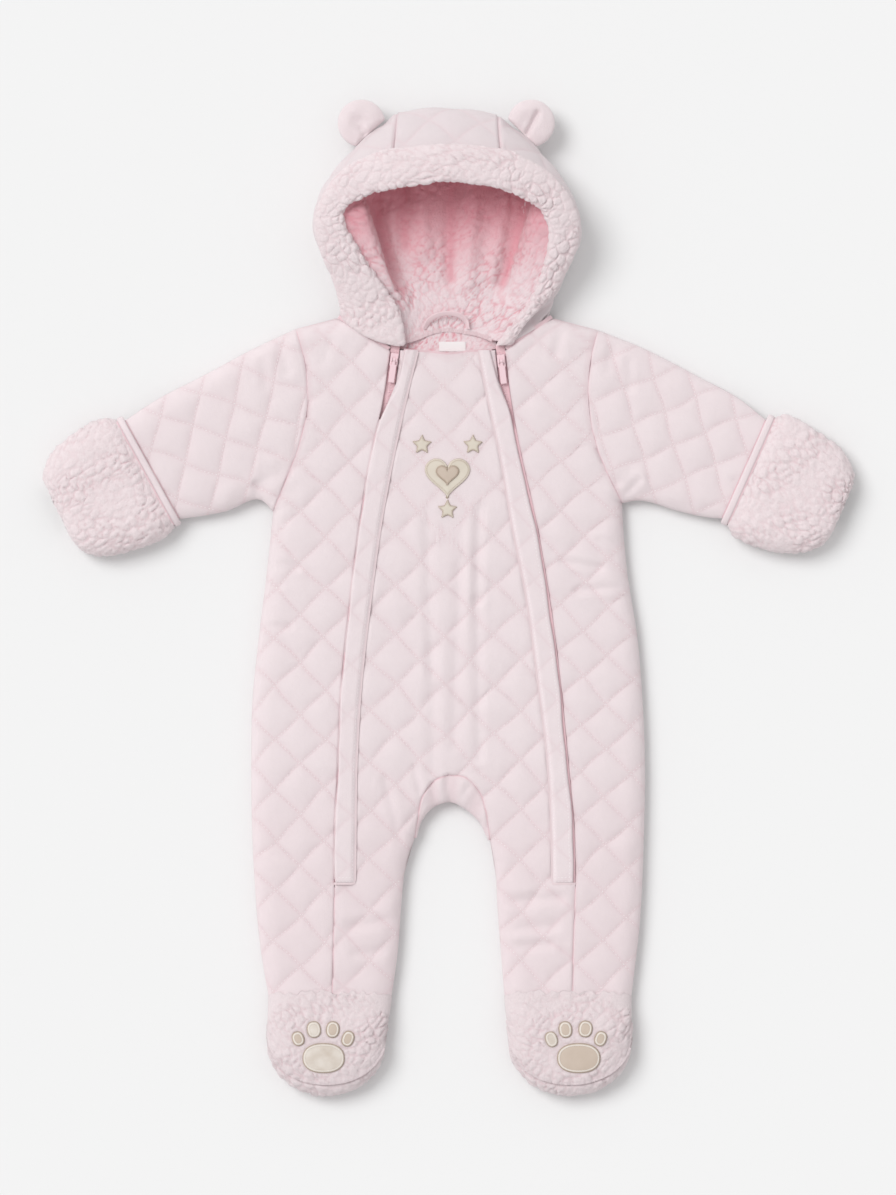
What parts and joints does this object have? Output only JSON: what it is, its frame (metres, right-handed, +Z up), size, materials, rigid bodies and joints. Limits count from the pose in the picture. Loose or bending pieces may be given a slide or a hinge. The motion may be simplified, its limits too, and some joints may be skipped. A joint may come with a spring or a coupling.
{
  "type": "baby snowsuit",
  "caption": "Baby's quilted snowsuit laid flat on its back, with a fleece-lined hood with round ears, turn-back cuffs, booties with soft paw pads and a zip down each side of the front.",
  "frame": {"origin": "middle of the outline's box, on the flat surface that the suit lies on", "axes": "+Y towards the hood, +Z up out of the front, +X towards the wearer's left sleeve"},
  "size_m": [0.669, 0.8215, 0.0685],
  "materials": {
    "quilted_cloth": "brushed soft, quilted in small diamonds",
    "sherpa": "curly sherpa pile",
    "sherpa_lining": "curly sherpa pile",
    "plain_cloth": "plain weave",
    "zip_tape": "woven tape with closed coil teeth",
    "zip_plastic": "satin",
    "pad_satin": "satin sheen",
    "motif_cloth": "satin sheen",
    "label_satin": "satin ribbon"
  },
  "bodies": {
    "suit": {"back_panel": "quilted_cloth", "front_center_panel": "quilted_cloth", "side_front_left": "quilted_cloth", "side_front_right": "quilted_cloth", "crotch_gusset": "quilted_cloth", "sleeve_left": "quilted_cloth", "sleeve_right": "quilted_cloth", "hood_center_panel": "quilted_cloth", "hood_side_left": "quilted_cloth", "hood_side_right": "quilted_cloth", "cuff_left": "sherpa", "cuff_right": "sherpa", "bootie_upper_left": "sherpa", "bootie_upper_right": "sherpa", "bootie_sole_left": "sherpa", "bootie_sole_right": "sherpa", "hood_brim": "sherpa", "hood_lining": "sherpa_lining", "neck_lining": "sherpa_lining", "cuff_binding_left": "plain_cloth", "cuff_binding_right": "plain_cloth", "zip_flap_left": "plain_cloth", "zip_flap_right": "plain_cloth", "ear_front_left": "plain_cloth", "ear_front_right": "plain_cloth", "ear_back_left": "plain_cloth", "ear_back_right": "plain_cloth", "hanger_loop": "plain_cloth", "zip_tape_left": "zip_tape", "zip_tape_right": "zip_tape", "zip_slider_left": "zip_plastic", "zip_slider_right": "zip_plastic", "paw_pad_left": "pad_satin", "paw_pad_right": "pad_satin", "paw_toe_left_1": "pad_satin", "paw_toe_left_2": "pad_satin", "paw_toe_left_3": "pad_satin", "paw_toe_left_4": "pad_satin", "paw_toe_right_1": "pad_satin", "paw_toe_right_2": "pad_satin", "paw_toe_right_3": "pad_satin", "paw_toe_right_4": "pad_satin", "motif_heart": "motif_cloth", "motif_heart_inner": "pad_satin", "motif_star_left": "motif_cloth", "motif_star_right": "motif_cloth", "motif_star_low": "motif_cloth", "neck_label": "label_satin"},
    "pull_tab_left": {"zip_pull_left": "zip_plastic"},
    "pull_tab_right": {"zip_pull_right": "zip_plastic"}
  },
  "joints": [
    {"name": "pull_tab_left_hinge", "type": "hinge", "parent": "suit", "child": "pull_tab_left", "pos_m": [-0.04398, 0.198, 0.02278], "axis": [-0.9907, 0.1363, 0], "range_deg": [0, 150]},
    {"name": "pull_tab_right_hinge", "type": "hinge", "parent": "suit", "child": "pull_tab_right", "pos_m": [0.04432, 0.197, 0.02274], "axis": [-0.9931, -0.1171, 0], "range_deg": [0, 150]}
  ]
}
